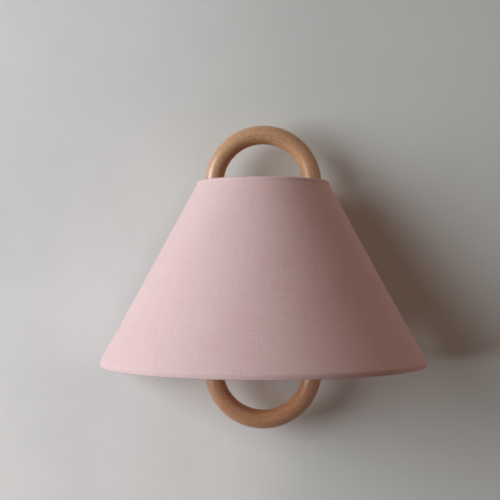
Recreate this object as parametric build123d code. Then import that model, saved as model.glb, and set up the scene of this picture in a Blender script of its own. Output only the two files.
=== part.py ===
from build123d import *
import math
import os

# Wall sconce. A stadium-shaped loop of round beech is fixed to a hollow wooden back box. The box covers a
# steel wall plate and the wiring, and carries a bent brass arm with a lampholder and a bulb that points down.
# A half-cone shade of laminated fabric on a wire frame hangs in front of the box by two keyhole straps, and
# lifts off upwards.
# Frame: the wall is the plane y = 0 and the viewer stands at -y. The origin is the centre of the wall plate.
# All sizes are in millimetres.

# Wooden loop: two half rings joined by two straight rails
ROD_D = 18.0
ARCH_R = 46.5
RAIL_LENGTH = 177.0
WALL_GAP = 24.0
RAIL_ABOVE_BOX = 2.5

# Dowels: hidden pins that join the loop and fix the box between the rails
JOINT_DOWEL_D = 8.0
JOINT_DOWEL_IN_ARCH = 14.0
JOINT_DOWEL_IN_RAIL = 16.0
CROSS_DOWEL_D = 6.0
CROSS_DOWEL_IN_RAIL = 11.0
CROSS_DOWEL_IN_BOX = 6.0
CROSS_DOWEL_FROM_END = 22.0
DOWEL_RELIEF = 1.0
DOWEL_CHAMFER = 0.8
GLUE_GAP = 0.05

# Back box: a block hollowed from the wall side
BOX_HEIGHT = 72.0
BOX_DEPTH = 48.0
BOX_RAIL_WRAP = 2.5
BOX_FRONT_WALL = 8.0
BOX_SIDE_WALL = 8.5
BOX_END_WALL = 9.0
BOX_EDGE_R = 3.0
CAVITY_CORNER_R = 4.0

# Wall plate: bent steel with a tab at the top and at the bottom
PLATE_THICK = 1.5
PLATE_SIDE_GAP = 2.0
PLATE_END_GAP = 0.3
PLATE_CORNER_R = 3.0
PLATE_BEND_R = 1.0
TAB_WIDTH = 16.0
TAB_LENGTH = 15.5
WALL_SCREW_HOLE_D = 5.0
WALL_SCREW_SPACING = 40.0
CABLE_HOLE_D = 8.0
GROMMET_WALL = 1.5
GROMMET_LIP = 1.5
GROMMET_FRONT = 2.0

# Machine screws that hold the box on the plate's tabs
BOX_SCREW_D = 4.0
BOX_SCREW_HEAD_D = 7.5
BOX_SCREW_HEAD = 2.4
BOX_SCREW_PAST_TAB = 2.0
SCREW_SLACK = 0.2
THREAD_GAP = 0.05
DRIVER_SLOT_WIDTH = 1.0
DRIVER_SLOT_DEPTH = 1.0

# Arm and its fixings
ARM_D = 10.0
ARM_WALL = 1.0
NUT_TOP_GAP = 1.0
ARM_BEND_R = 18.0
ARM_INSIDE = 5.0
ARM_BELOW_BEND = 12.0
LAMP_FROM_BOX = 28.0
FLANGE_D = 24.0
FLANGE_THICK = 3.0
FLANGE_EDGE_R = 1.2
NUT_ACROSS = 16.0
NUT_THICK = 4.0

# Lampholder, from the neck down
NECK_GAP = 2.0
NECK_WALL = 2.0
NECK_LENGTH = 10.0
DOME_LENGTH = 22.0
DOME_WALL = 1.6
DOME_ROUND_R = 5.0
HOLDER_D = 30.0
SPIGOT_LENGTH = 5.0
SKIRT_WALL = 1.6
SKIRT_FLANGE = 5.0
SKIRT_STEP = 1.0
SKIRT_LEDGE = 1.5
SKIRT_COLLAR_GAP = 0.6
CORE_THICK = 8.0
CORE_GAP = 0.2
CORE_HOLE_D = 2.6
CORE_HOLE_SPACING = 9.0
GRUB_D = 3.0
SHELL_WALL = 0.5
SHELL_COLLAR_GAP = 1.5
SHELL_FLANGE_GAP = 1.2
CONTACT_WIDTH = 4.0
CONTACT_THICK = 0.4
CONTACT_LENGTH = 9.0
CONTACT_DROP = 3.2
CONTACT_GAP = 0.3

# Bulb with a small screw cap
CAP_D = 13.9
CAP_LENGTH = 15.5
CAP_GAP = 0.15
TIP_D = 4.8
TIP_LENGTH = 1.5
INSULATOR_LENGTH = 2.5
INSULATOR_WAIST = 1.0
COLLAR_LENGTH = 17.0
COLLAR_D = 30.0
COLLAR_FOOT_D = 15.5
COLLAR_ROUND_R = 8.0
COLLAR_STEP = 1.0
GLOBE_D = 45.0
GLOBE_WALL = 1.2
LED_BOARD_D = 22.0
LED_BOARD_THICK = 1.2

# Terminal block and the leads
POLE_PITCH = 8.0
POLE_D = 6.6
POLE_COUNT = 3
TERMINAL_HEIGHT = 16.0
TERMINAL_BASE = 2.5
TERMINAL_DEPTH = 11.0
TERMINAL_UP = 3.0
TERMINAL_SCREW_D = 3.0
TERMINAL_EAR = 7.0
FIXING_SCREW_D = 3.0
FIXING_SCREW_HEAD_D = 5.5
FIXING_SCREW_HEAD = 1.8
FIXING_SCREW_DEPTH = 5.0
LEAD_D = 2.0
LEAD_IN_PORT = 4.0
LEAD_IN_CORE = 4.0
LEAD_HOLE_GAP = 0.3
LEAD_GAP = 0.8
LEAD_BACK_OFF = 10.0
LEAD_SMALL_R = 4.0
EARTH_SCREW_D = 4.0
EARTH_SCREW_HEAD_D = 7.0
EARTH_SCREW_HEAD = 2.0
EARTH_SCREW_X = 14.0
EARTH_SCREW_Z = -14.0

# Shade: a half cone whose cut edges face the wall
SHADE_BOTTOM_D = 310.0
SHADE_HEIGHT = 174.5
SHADE_RISE = 2.5
SHADE_WALL_GAP = 19.5
SHADE_LOOP_GAP = 1.6
FABRIC = 0.6
LINER = 0.8
BOND = 0.1
ROLL_GAP = 0.2
RING_WIRE_D = 3.0
FOLD_LIP = 10.0
BINDING_LIP = 6.0
BINDING_SAG = 0.4
WIRE_NOTCH_GAP = 0.3
CROSS_WIRE_GAP = 0.3

# Hanger straps with keyholes, and the screws that they hang on
STRAP_WIDTH = 14.0
STRAP_THICK = 1.5
STRAP_BOX_GAP = 0.3
STRAP_CURL_TAIL = 2.0
STRAP_MARGIN = 3.5
STRAP_CORNER_R = 3.0
HANGER_SPACING = 48.0
HANGER_SCREW_Z = 14.0
HANGER_NECK_D = 4.0
HANGER_HEAD_D = 8.0
HANGER_HEAD = 2.5
HANGER_HEAD_ROUND_R = 1.5
HANGER_SHANK = 7.0
KEYHOLE_SLACK = 0.2
KEYHOLE_TRAVEL = 9.0

# Values that follow from the sizes above
ROD_R = ROD_D / 2
LOOP_Y = -(WALL_GAP + ROD_R)
LOOP_FRONT_Y = LOOP_Y - ROD_R
RAIL_TOP_Z = BOX_HEIGHT / 2 + RAIL_ABOVE_BOX
RAIL_BOTTOM_Z = RAIL_TOP_Z - RAIL_LENGTH

BOX_HALF_WIDTH = ARCH_R - ROD_R + BOX_RAIL_WRAP
CAVITY_HALF_WIDTH = ARCH_R - ROD_R - BOX_SIDE_WALL
CAVITY_HALF_HEIGHT = BOX_HEIGHT / 2 - BOX_END_WALL
CAVITY_FRONT_Y = -(BOX_DEPTH - BOX_FRONT_WALL)
BOX_FRONT_Y = -BOX_DEPTH
TAB_TOP_Z = CAVITY_HALF_HEIGHT - PLATE_END_GAP
TAB_END_Y = -TAB_LENGTH
BOX_SCREW_Y = (TAB_END_Y - PLATE_THICK) / 2

ARM_RISE = CAVITY_HALF_HEIGHT - NUT_TOP_GAP - NUT_ACROSS / 2
LAMP_Y = BOX_FRONT_Y - LAMP_FROM_BOX
BEND_START_Y = LAMP_Y + ARM_BEND_R
BEND_END_Z = ARM_RISE - ARM_BEND_R
ARM_R = ARM_D / 2
NECK_TOP_Z = BEND_END_Z - NECK_GAP
ARM_END_Z = BEND_END_Z - ARM_BELOW_BEND
DOME_END_Z = NECK_TOP_Z - DOME_LENGTH
SPIGOT_R = HOLDER_D / 2 - DOME_WALL - THREAD_GAP
SPIGOT_TOP_Z = DOME_END_Z + SPIGOT_LENGTH
CORE_R = SPIGOT_R - SKIRT_WALL - CORE_GAP
LEDGE_R = SPIGOT_R - SKIRT_WALL - SKIRT_LEDGE
SHELL_FLANGE_R = LEDGE_R - SHELL_FLANGE_GAP
CORE_BOTTOM_Z = SPIGOT_TOP_Z - CORE_THICK
SHELL_R = CAP_D / 2 + CAP_GAP
CONTACT_LOW_Z = CORE_BOTTOM_Z - CONTACT_DROP

TIP_TOP_Z = CONTACT_LOW_Z - CONTACT_GAP
INSULATOR_TOP_Z = TIP_TOP_Z - TIP_LENGTH
CAP_TOP_Z = INSULATOR_TOP_Z - INSULATOR_LENGTH
COLLAR_TOP_Z = CAP_TOP_Z - CAP_LENGTH
COLLAR_END_Z = COLLAR_TOP_Z - COLLAR_LENGTH
SKIRT_END_Z = COLLAR_TOP_Z + SKIRT_COLLAR_GAP
SHELL_END_Z = COLLAR_TOP_Z + SHELL_COLLAR_GAP
GLOBE_NECK_R = COLLAR_D / 2 - COLLAR_STEP
GLOBE_CENTRE_Z = COLLAR_END_Z - math.sqrt((GLOBE_D / 2) ** 2 - GLOBE_NECK_R ** 2)

TERMINAL_BOTTOM_Z = -CAVITY_HALF_HEIGHT + TERMINAL_UP
TERMINAL_TOP_Z = TERMINAL_BOTTOM_Z + TERMINAL_HEIGHT
TERMINAL_MIDDLE_Z = TERMINAL_BOTTOM_Z + TERMINAL_HEIGHT / 2
EAR_X = (POLE_COUNT * POLE_PITCH + TERMINAL_EAR) / 2
EAR_FACE_Y = CAVITY_FRONT_Y + TERMINAL_BASE
PORT_Y = EAR_FACE_Y + POLE_D / 2

RING_R = RING_WIRE_D / 2
FOLD_R = FABRIC + ROLL_GAP + RING_R
LINER_OUT = FABRIC + BOND
LINER_IN = LINER_OUT + LINER
SHADE_Y = -(SHADE_WALL_GAP + FOLD_R)
LOOP_REACH = math.hypot(ARCH_R, LOOP_Y - SHADE_Y) + ROD_R
SHADE_TOP_R = LOOP_REACH + SHADE_LOOP_GAP + 2 * FOLD_R
SHADE_TOP_Z = RAIL_TOP_Z + SHADE_RISE
SHADE_BOTTOM_Z = SHADE_TOP_Z - SHADE_HEIGHT
RING_TOP = Vector(SHADE_TOP_R - FOLD_R, SHADE_TOP_Z - FOLD_R)
RING_BOTTOM = Vector(SHADE_BOTTOM_D / 2 - FOLD_R, SHADE_BOTTOM_Z + FOLD_R)
SLANT = (RING_BOTTOM - RING_TOP).length
DOWN_SLANT = (RING_BOTTOM - RING_TOP).normalized()
OUTWARD = Vector(-DOWN_SLANT.Y, DOWN_SLANT.X)

STRAP_BACK_Y = BOX_FRONT_Y - STRAP_BOX_GAP
STRAP_FRONT_Y = STRAP_BACK_Y - STRAP_THICK
UPPER_WIRE_Y = STRAP_FRONT_Y - BOND - RING_R
LOWER_WIRE_Y = LOOP_FRONT_Y - CROSS_WIRE_GAP - RING_R
KEYHOLE_R = HANGER_HEAD_D / 2 + KEYHOLE_SLACK
SLOT_R = HANGER_NECK_D / 2 + KEYHOLE_SLACK

FROM_BASE = (Align.CENTER, Align.CENTER, Align.MIN)
SIDES = (-1, 1)


# General shapes

def rod(radius, start, end):
    """A round bar from one point to another."""
    run = Vector(end) - Vector(start)
    return Plane(start, z_dir=run) * Cylinder(radius, run.length, align=FROM_BASE)


def turned(profile, y=LAMP_Y, round_corners=()):
    """A solid turned about the vertical line at x = 0 and y. profile holds (radius, z) points.

    round_corners holds (index of a profile point, radius) pairs.
    """
    outline = Plane.XZ.offset(-y) * make_face(Polyline(*profile, close=True))
    for index, radius in round_corners:
        corner = Vector(profile[index][0], y, profile[index][1])
        outline = fillet(outline.vertices().sort_by_distance(corner)[0], radius)
    return revolve(outline, Axis((0, y, 0), (0, 0, 1)))


def piped(radius, points, bend_radii):
    """A round wire or tube core along straight runs that tangent arcs join."""
    path = FilletPolyline(*points, radius=list(bend_radii))
    section = Plane(path @ 0, z_dir=path % 0) * Circle(radius)
    return sweep(section, path=path)


def slotted_head(disc, plane):
    """A screw head with a driver slot cut across its outer face, which lies on the plane."""
    slot = plane * Box(BOX_SCREW_HEAD_D * 2, DRIVER_SLOT_WIDTH, DRIVER_SLOT_DEPTH * 2)
    return disc - slot


# Wooden loop

def arch(end_z, upward):
    """A half ring of round rod whose flat ends lie at end_z."""
    section = Plane.XY.offset(end_z) * Pos(ARCH_R, LOOP_Y) * Circle(ROD_R)
    turn = Axis((0, LOOP_Y, end_z), (0, -1 if upward else 1, 0))
    body = revolve(section, turn, revolution_arc=180)
    return body - [joint_dowel_hole(side, end_z) for side in SIDES]


def rail(side):
    body = rod(ROD_R, (side * ARCH_R, LOOP_Y, RAIL_BOTTOM_Z), (side * ARCH_R, LOOP_Y, RAIL_TOP_Z))
    body -= [joint_dowel_hole(side, z) for z in (RAIL_BOTTOM_Z, RAIL_TOP_Z)]
    return body - [cross_dowel_hole(side, z) for z in cross_dowel_heights()]


def joint_dowel_span(joint_z):
    """Lowest and highest point of the dowel that crosses one joint of the loop."""
    if joint_z == RAIL_TOP_Z:
        return joint_z - JOINT_DOWEL_IN_RAIL, joint_z + JOINT_DOWEL_IN_ARCH
    return joint_z - JOINT_DOWEL_IN_ARCH, joint_z + JOINT_DOWEL_IN_RAIL


def joint_dowel_hole(side, joint_z):
    low, high = joint_dowel_span(joint_z)
    x = side * ARCH_R
    start, end = (x, LOOP_Y, low - DOWEL_RELIEF), (x, LOOP_Y, high + DOWEL_RELIEF)
    return rod(JOINT_DOWEL_D / 2 + GLUE_GAP, start, end)


def joint_dowels():
    pins = []
    for side in SIDES:
        for joint_z in (RAIL_BOTTOM_Z, RAIL_TOP_Z):
            low, high = joint_dowel_span(joint_z)
            pin = rod(JOINT_DOWEL_D / 2, (side * ARCH_R, LOOP_Y, low), (side * ARCH_R, LOOP_Y, high))
            pins.append(chamfer(pin.edges().filter_by(GeomType.CIRCLE), DOWEL_CHAMFER))
    return Compound(pins)


def cross_dowel_heights():
    reach = BOX_HEIGHT / 2 - CROSS_DOWEL_FROM_END
    return -reach, reach


def cross_dowel_ends(side, z, relief):
    """The two ends of a dowel that runs from the box's side wall into a rail."""
    seam = ARCH_R - ROD_R
    near = (side * (seam - CROSS_DOWEL_IN_BOX - relief), LOOP_Y, z)
    far = (side * (seam + CROSS_DOWEL_IN_RAIL + relief), LOOP_Y, z)
    return near, far


def cross_dowel_hole(side, z):
    return rod(CROSS_DOWEL_D / 2 + GLUE_GAP, *cross_dowel_ends(side, z, DOWEL_RELIEF))


def cross_dowels():
    pins = []
    for side in SIDES:
        for z in cross_dowel_heights():
            pin = rod(CROSS_DOWEL_D / 2, *cross_dowel_ends(side, z, 0))
            pins.append(chamfer(pin.edges().filter_by(GeomType.CIRCLE), DOWEL_CHAMFER))
    return Compound(pins)


# Back box and wall plate

def back_box():
    block = Box(
        2 * BOX_HALF_WIDTH, BOX_DEPTH, BOX_HEIGHT, align=(Align.CENTER, Align.MAX, Align.CENTER)
    )
    block = fillet(block.faces().sort_by(Axis.Y)[0].edges(), BOX_EDGE_R)
    cavity = Box(
        2 * CAVITY_HALF_WIDTH, -CAVITY_FRONT_Y, 2 * CAVITY_HALF_HEIGHT,
        align=(Align.CENTER, Align.MAX, Align.CENTER),
    )
    block -= fillet(cavity.edges().filter_by(Axis.Y), CAVITY_CORNER_R)
    for side in SIDES:
        x = side * ARCH_R
        block -= rod(ROD_R + GLUE_GAP, (x, LOOP_Y, -BOX_HEIGHT), (x, LOOP_Y, BOX_HEIGHT))
        block -= [cross_dowel_hole(side, z) for z in cross_dowel_heights()]
        block -= hanger_pilot_hole(side)
        block -= fixing_screw_bar(side, FIXING_SCREW_D / 2 + THREAD_GAP, 0)
        block -= rod(
            BOX_SCREW_D / 2 + SCREW_SLACK,
            (0, BOX_SCREW_Y, side * CAVITY_HALF_HEIGHT / 2),
            (0, BOX_SCREW_Y, side * BOX_HEIGHT),
        )
    return block - rod(ARM_R + SCREW_SLACK, (0, 0, ARM_RISE), (0, 2 * BOX_FRONT_Y, ARM_RISE))


def wall_plate():
    """A flat plate with two tabs bent towards the room, which the box is screwed to."""
    width = 2 * (CAVITY_HALF_WIDTH - PLATE_SIDE_GAP)
    height = 2 * (TAB_TOP_Z - PLATE_THICK - PLATE_BEND_R)
    flat = RectangleRounded(width, height, PLATE_CORNER_R)
    plate = extrude(Plane.XZ * flat, PLATE_THICK)
    bend_line = FilletPolyline(
        (TAB_END_Y, -TAB_TOP_Z + PLATE_THICK / 2),
        (-PLATE_THICK / 2, -TAB_TOP_Z + PLATE_THICK / 2),
        (-PLATE_THICK / 2, TAB_TOP_Z - PLATE_THICK / 2),
        (TAB_END_Y, TAB_TOP_Z - PLATE_THICK / 2),
        radius=PLATE_BEND_R + PLATE_THICK / 2,
    )
    channel = make_face(offset(bend_line, PLATE_THICK / 2, side=Side.BOTH))
    plate += extrude(Plane.YZ * channel, TAB_WIDTH / 2, both=True)
    for side in SIDES:
        plate -= rod(
            BOX_SCREW_D / 2 + THREAD_GAP,
            (0, BOX_SCREW_Y, side * CAVITY_HALF_HEIGHT / 2),
            (0, BOX_SCREW_Y, side * CAVITY_HALF_HEIGHT),
        )
        x = side * WALL_SCREW_SPACING / 2
        plate -= rod(WALL_SCREW_HOLE_D / 2, (x, PLATE_THICK, 0), (x, -2 * PLATE_THICK, 0))
    plate -= rod(CABLE_HOLE_D / 2 + GROMMET_WALL + THREAD_GAP, (0, PLATE_THICK, 0), (0, -2 * PLATE_THICK, 0))
    earth_from = (EARTH_SCREW_X, PLATE_THICK, EARTH_SCREW_Z)
    earth_to = (EARTH_SCREW_X, -2 * PLATE_THICK, EARTH_SCREW_Z)
    return plate - rod(EARTH_SCREW_D / 2 + THREAD_GAP, earth_from, earth_to)


def cable_grommet():
    """A rubber bush in the plate's centre hole, flush with the wall side, for the supply cable."""
    bore = CABLE_HOLE_D / 2
    front = -(PLATE_THICK + GROMMET_FRONT)
    bush = rod(bore + GROMMET_WALL, (0, 0, 0), (0, front, 0))
    lip_y = -PLATE_THICK
    bush += rod(bore + GROMMET_WALL + GROMMET_LIP, (0, lip_y, 0), (0, front, 0))
    return bush - rod(bore, (0, PLATE_THICK, 0), (0, 2 * front, 0))


def box_screws():
    """Two machine screws, driven from above and below through the box's end walls into the tabs."""
    screws = []
    for side in SIDES:
        seat = side * BOX_HEIGHT / 2
        head_end = seat + side * BOX_SCREW_HEAD
        point = side * (TAB_TOP_Z - PLATE_THICK - BOX_SCREW_PAST_TAB)
        head = rod(BOX_SCREW_HEAD_D / 2, (0, BOX_SCREW_Y, seat), (0, BOX_SCREW_Y, head_end))
        head = slotted_head(head, Plane((0, BOX_SCREW_Y, head_end)))
        screws.append(head + rod(BOX_SCREW_D / 2, (0, BOX_SCREW_Y, seat), (0, BOX_SCREW_Y, point)))
    return Compound([screw.solid() for screw in screws])


def earth_screw():
    front = -PLATE_THICK - LEAD_D - 2 * BOND
    head = rod(
        EARTH_SCREW_HEAD_D / 2,
        (EARTH_SCREW_X, front, EARTH_SCREW_Z),
        (EARTH_SCREW_X, front - EARTH_SCREW_HEAD, EARTH_SCREW_Z),
    )
    face = Plane((EARTH_SCREW_X, front - EARTH_SCREW_HEAD, EARTH_SCREW_Z), z_dir=(0, -1, 0))
    shank = rod(EARTH_SCREW_D / 2, (EARTH_SCREW_X, front, EARTH_SCREW_Z), (EARTH_SCREW_X, 0, EARTH_SCREW_Z))
    return slotted_head(head, face) + shank


# Arm and lampholder

def arm_path():
    rear_y = CAVITY_FRONT_Y + ARM_INSIDE
    return [(0, rear_y, ARM_RISE), (0, LAMP_Y, ARM_RISE), (0, LAMP_Y, ARM_END_Z)]


def lamp_arm():
    tube = piped(ARM_R, arm_path(), [ARM_BEND_R])
    return tube - piped(ARM_R - ARM_WALL, arm_path(), [ARM_BEND_R])


def arm_flange():
    disc = rod(FLANGE_D / 2, (0, BOX_FRONT_Y, ARM_RISE), (0, BOX_FRONT_Y - FLANGE_THICK, ARM_RISE))
    disc = fillet(disc.edges().filter_by(GeomType.CIRCLE).sort_by(Axis.Y)[0], FLANGE_EDGE_R)
    return disc - rod(ARM_R + THREAD_GAP, (0, 0, ARM_RISE), (0, 2 * BOX_FRONT_Y, ARM_RISE))


def arm_nut():
    plane = Plane((0, CAVITY_FRONT_Y, ARM_RISE), x_dir=(1, 0, 0), z_dir=(0, 1, 0))
    hexagon = RegularPolygon(NUT_ACROSS / 2, 6, major_radius=False)
    return extrude(plane * (hexagon - Circle(ARM_R + THREAD_GAP)), NUT_THICK)


def holder_dome():
    """The lampholder's upper cap: a neck that screws on the arm and a dome over the wiring."""
    neck_r = ARM_R + THREAD_GAP + NECK_WALL
    neck_end = NECK_TOP_Z - NECK_LENGTH
    outer_r = HOLDER_D / 2
    dome = turned(
        [
            (ARM_R + THREAD_GAP, NECK_TOP_Z),
            (neck_r, NECK_TOP_Z),
            (neck_r, neck_end + DOME_WALL),
            (outer_r, neck_end + DOME_WALL),
            (outer_r, DOME_END_Z),
            (outer_r - DOME_WALL, DOME_END_Z),
            (outer_r - DOME_WALL, neck_end),
            (ARM_R + THREAD_GAP, neck_end),
        ],
        round_corners=[(3, DOME_ROUND_R), (6, DOME_ROUND_R - DOME_WALL)],
    )
    return dome - grub_screw_bar(THREAD_GAP)


def grub_screw_bar(gap):
    """The grub screw's round bar, from the arm's surface to the neck's."""
    z = NECK_TOP_Z - NECK_LENGTH / 2
    start = LAMP_Y + ARM_R + THREAD_GAP
    return rod(GRUB_D / 2 + gap, (0, start, z), (0, start + NECK_WALL, z))


def holder_grub_screw():
    bar = grub_screw_bar(0)
    outer = Plane(bar.faces().sort_by(Axis.Y)[-1])
    return slotted_head(bar, outer)


def holder_skirt():
    """The lampholder's lower sleeve, with a spigot in the dome and a ledge that carries the core."""
    bore_r = SPIGOT_R - SKIRT_WALL
    flange_r = HOLDER_D / 2
    sleeve_r = flange_r - SKIRT_STEP
    return turned(
        [
            (bore_r, SPIGOT_TOP_Z),
            (SPIGOT_R, SPIGOT_TOP_Z),
            (SPIGOT_R, DOME_END_Z),
            (flange_r, DOME_END_Z),
            (flange_r, DOME_END_Z - SKIRT_FLANGE),
            (sleeve_r, DOME_END_Z - SKIRT_FLANGE - SKIRT_STEP),
            (sleeve_r, SKIRT_END_Z),
            (sleeve_r - SKIRT_WALL, SKIRT_END_Z),
            (sleeve_r - SKIRT_WALL, CORE_BOTTOM_Z - SKIRT_LEDGE),
            (LEDGE_R, CORE_BOTTOM_Z - SKIRT_LEDGE),
            (LEDGE_R, CORE_BOTTOM_Z),
            (bore_r, CORE_BOTTOM_Z),
        ]
    )


def holder_core():
    """The insulating disc between dome and skirt, with a hole for each lead."""
    core = rod(CORE_R, (0, LAMP_Y, CORE_BOTTOM_Z), (0, LAMP_Y, SPIGOT_TOP_Z))
    for side in SIDES:
        x = side * CORE_HOLE_SPACING / 2
        core -= rod(CORE_HOLE_D / 2, (x, LAMP_Y, CORE_BOTTOM_Z), (x, LAMP_Y, SPIGOT_TOP_Z))
    return core


def screw_shell():
    """The brass sleeve that the bulb's cap screws into, flanged against the core."""
    return turned(
        [
            (SHELL_R, CORE_BOTTOM_Z),
            (SHELL_FLANGE_R, CORE_BOTTOM_Z),
            (SHELL_FLANGE_R, CORE_BOTTOM_Z - SHELL_WALL),
            (SHELL_R + SHELL_WALL, CORE_BOTTOM_Z - SHELL_WALL),
            (SHELL_R + SHELL_WALL, SHELL_END_Z),
            (SHELL_R, SHELL_END_Z),
        ]
    )


def centre_contact():
    """A springy bronze tongue under the core, arched down to the bulb's tip."""
    half = CONTACT_LENGTH / 2
    foot_z = CORE_BOTTOM_Z - CONTACT_THICK / 2
    low_z = CONTACT_LOW_Z + CONTACT_THICK / 2
    line = Polyline((-half, foot_z), (-half / 2, foot_z), (0, low_z), (half / 2, foot_z), (half, foot_z))
    strip = make_face(offset(line, CONTACT_THICK / 2, side=Side.BOTH))
    return extrude(Plane.XZ.offset(-LAMP_Y) * strip, CONTACT_WIDTH / 2, both=True)


# Bulb

def bulb_tip():
    top = rod(TIP_D / 2, (0, LAMP_Y, INSULATOR_TOP_Z), (0, LAMP_Y, TIP_TOP_Z))
    return fillet(top.edges().filter_by(GeomType.CIRCLE).sort_by(Axis.Z)[-1], TIP_LENGTH / 2)


def bulb_insulator():
    waist = CAP_D / 2 - INSULATOR_WAIST
    return turned([(0, INSULATOR_TOP_Z), (TIP_D / 2, INSULATOR_TOP_Z), (waist, CAP_TOP_Z), (0, CAP_TOP_Z)])


def bulb_cap():
    cap = rod(CAP_D / 2, (0, LAMP_Y, COLLAR_TOP_Z), (0, LAMP_Y, CAP_TOP_Z))
    return chamfer(cap.edges().filter_by(GeomType.CIRCLE).sort_by(Axis.Z)[-1], INSULATOR_WAIST)


def bulb_collar():
    """The plastic body between cap and globe, with a socket that the globe sits in."""
    return turned(
        [
            (0, COLLAR_TOP_Z),
            (COLLAR_FOOT_D / 2, COLLAR_TOP_Z),
            (COLLAR_D / 2, COLLAR_TOP_Z - COLLAR_LENGTH / 2),
            (COLLAR_D / 2, COLLAR_END_Z),
            (0, COLLAR_END_Z),
        ],
        round_corners=[(2, COLLAR_ROUND_R)],
    )


def led_board():
    """The round circuit board that shines into the globe."""
    return rod(LED_BOARD_D / 2, (0, LAMP_Y, COLLAR_END_Z), (0, LAMP_Y, COLLAR_END_Z - LED_BOARD_THICK))


def globe_point(radius, angle):
    """A point on a sphere round the globe's centre, at an angle from straight down."""
    return radius * math.sin(angle), GLOBE_CENTRE_Z - radius * math.cos(angle)


def bulb_globe():
    """A hollow opal envelope, open where it meets the collar."""
    outer, inner = GLOBE_D / 2, GLOBE_D / 2 - GLOBE_WALL
    rise = COLLAR_END_Z - GLOBE_CENTRE_Z
    outer_end, inner_end = math.acos(-rise / outer), math.acos(-rise / inner)
    outside = ThreePointArc(*[globe_point(outer, outer_end * share) for share in (0, 0.5, 1)])
    inside = ThreePointArc(*[globe_point(inner, inner_end * share) for share in (0, 0.5, 1)])
    outline = [outside, Line(outside @ 1, inside @ 1), inside, Line(inside @ 0, outside @ 0)]
    return revolve(Plane.XZ.offset(-LAMP_Y) * make_face(outline), Axis((0, LAMP_Y, 0), (0, 0, 1)))


# Wiring inside the box and the arm

def pole_x(index):
    return (index - (POLE_COUNT - 1) / 2) * POLE_PITCH


def terminal_block():
    """A row of barrels on a common base, each with a wire port through it and a screw well."""
    block = Pos(0, CAVITY_FRONT_Y, TERMINAL_BOTTOM_Z) * Box(
        POLE_COUNT * POLE_PITCH, TERMINAL_BASE + POLE_D / 2, TERMINAL_HEIGHT,
        align=(Align.CENTER, Align.MIN, Align.MIN),
    )
    ears = Plane((0, CAVITY_FRONT_Y, TERMINAL_MIDDLE_Z), x_dir=(1, 0, 0), z_dir=(0, 1, 0)) * SlotOverall(
        2 * EAR_X + TERMINAL_EAR, TERMINAL_EAR
    )
    block += extrude(ears, TERMINAL_BASE)
    block -= [fixing_screw_bar(side, FIXING_SCREW_D / 2 + SCREW_SLACK, EAR_FACE_Y) for side in SIDES]
    well_end = CAVITY_FRONT_Y + TERMINAL_DEPTH
    middle_z = TERMINAL_MIDDLE_Z
    for index in range(POLE_COUNT):
        x = pole_x(index)
        block += rod(POLE_D / 2, (x, PORT_Y, TERMINAL_BOTTOM_Z), (x, PORT_Y, TERMINAL_TOP_Z))
        block += rod(POLE_D / 2, (x, PORT_Y, middle_z), (x, well_end, middle_z))
    for index in range(POLE_COUNT):
        x = pole_x(index)
        block -= rod(LEAD_D / 2 + LEAD_HOLE_GAP, (x, PORT_Y, TERMINAL_BOTTOM_Z), (x, PORT_Y, TERMINAL_TOP_Z))
        block -= terminal_screw_bar(index, TERMINAL_SCREW_D / 2 + THREAD_GAP, well_end)
    return block


def terminal_screw_bar(index, radius, end_y):
    """A bar along a pole's screw well, from above the wire port to end_y."""
    x = pole_x(index)
    start_y = PORT_Y + LEAD_D / 2 + LEAD_HOLE_GAP
    return rod(radius, (x, start_y, TERMINAL_MIDDLE_Z), (x, end_y, TERMINAL_MIDDLE_Z))


def fixing_screw_bar(side, radius, end_y):
    """A bar along a fixing screw, from its point in the box's front wall to end_y."""
    start_y = CAVITY_FRONT_Y - FIXING_SCREW_DEPTH
    return rod(radius, (side * EAR_X, start_y, TERMINAL_MIDDLE_Z), (side * EAR_X, end_y, TERMINAL_MIDDLE_Z))


def terminal_fixing_screws():
    """Two screws that hold the terminal block's ears on the inside of the box's front wall."""
    screws = []
    for side in SIDES:
        shank = fixing_screw_bar(side, FIXING_SCREW_D / 2, EAR_FACE_Y)
        top = (side * EAR_X, EAR_FACE_Y + FIXING_SCREW_HEAD, TERMINAL_MIDDLE_Z)
        head = rod(FIXING_SCREW_HEAD_D / 2, (side * EAR_X, EAR_FACE_Y, TERMINAL_MIDDLE_Z), top)
        screws.append((slotted_head(head, Plane(top, z_dir=(0, 1, 0))) + shank).solid())
    return Compound(screws)


def terminal_screws():
    end_y = CAVITY_FRONT_Y + TERMINAL_DEPTH - DRIVER_SLOT_DEPTH
    bars = [terminal_screw_bar(index, TERMINAL_SCREW_D / 2, end_y) for index in range(POLE_COUNT)]
    return Compound([slotted_head(bar, Plane(bar.faces().sort_by(Axis.Y)[-1])).solid() for bar in bars])


def lamp_lead(index, side):
    """One insulated lead from a terminal pole, through the arm, to the lampholder's core."""
    turn_y = CAVITY_FRONT_Y + ARM_INSIDE + LEAD_BACK_OFF
    in_arm_x = side * (LEAD_D + LEAD_GAP) / 2
    hole_x = side * CORE_HOLE_SPACING / 2
    port_z = TERMINAL_TOP_Z - LEAD_IN_PORT
    points = [
        (pole_x(index), PORT_Y, port_z),
        (pole_x(index), PORT_Y, TERMINAL_TOP_Z + LEAD_SMALL_R * 2),
        (in_arm_x, turn_y, ARM_RISE - 2 * LEAD_SMALL_R),
        (in_arm_x, turn_y, ARM_RISE),
        (in_arm_x, LAMP_Y, ARM_RISE),
        (in_arm_x, LAMP_Y, ARM_END_Z - LEAD_D / 2),
        (hole_x, LAMP_Y, SPIGOT_TOP_Z + LEAD_D / 2),
        (hole_x, LAMP_Y, SPIGOT_TOP_Z - LEAD_IN_CORE),
    ]
    return piped(LEAD_D / 2, points, [LEAD_SMALL_R] * 3 + [ARM_BEND_R] + [LEAD_SMALL_R / 2] * 2)


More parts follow.
